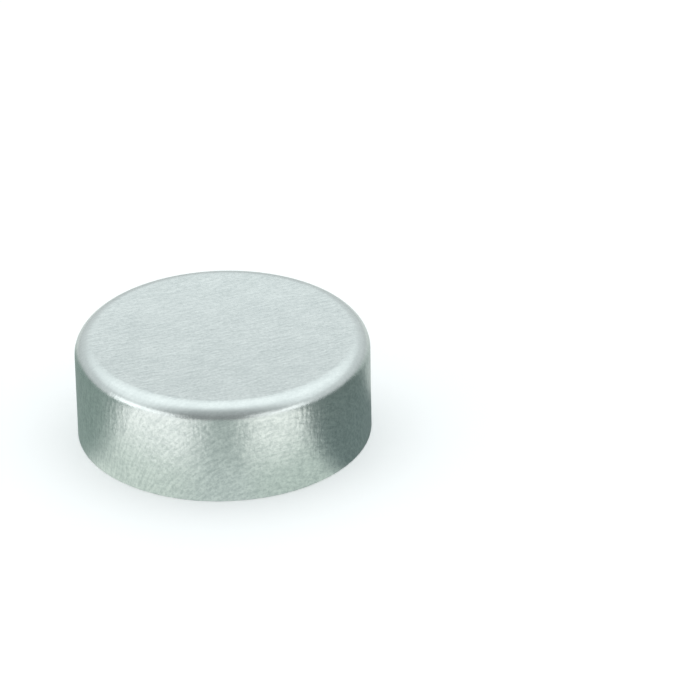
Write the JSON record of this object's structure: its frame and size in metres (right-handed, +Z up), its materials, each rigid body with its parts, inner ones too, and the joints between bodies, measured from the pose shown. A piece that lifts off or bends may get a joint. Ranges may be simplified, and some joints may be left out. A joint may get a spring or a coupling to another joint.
{
  "type": "aluminium crimp seal",
  "caption": "Plain drawn aluminium cap for a 20 mm vial crown: flat closed top, rounded shoulder and thin straight skirt, open below, to be crimped over a stopper.",
  "frame": {"origin": "centre of the open foot, on the surface that the trimmed edge stands on", "axes": "+Z up the axis of the cup, from the open foot to the closed top; the cup is round, so X and Y are free"},
  "size_m": [0.0206, 0.0206, 0.0073],
  "materials": {
    "aluminium_sheet": "satin rolled sheet as deep drawn, with fine straight rolling grain over the top and a slightly brighter shoulder"
  },
  "bodies": {
    "root": {"crimp_seal": "aluminium_sheet"}
  },
  "joints": []
}
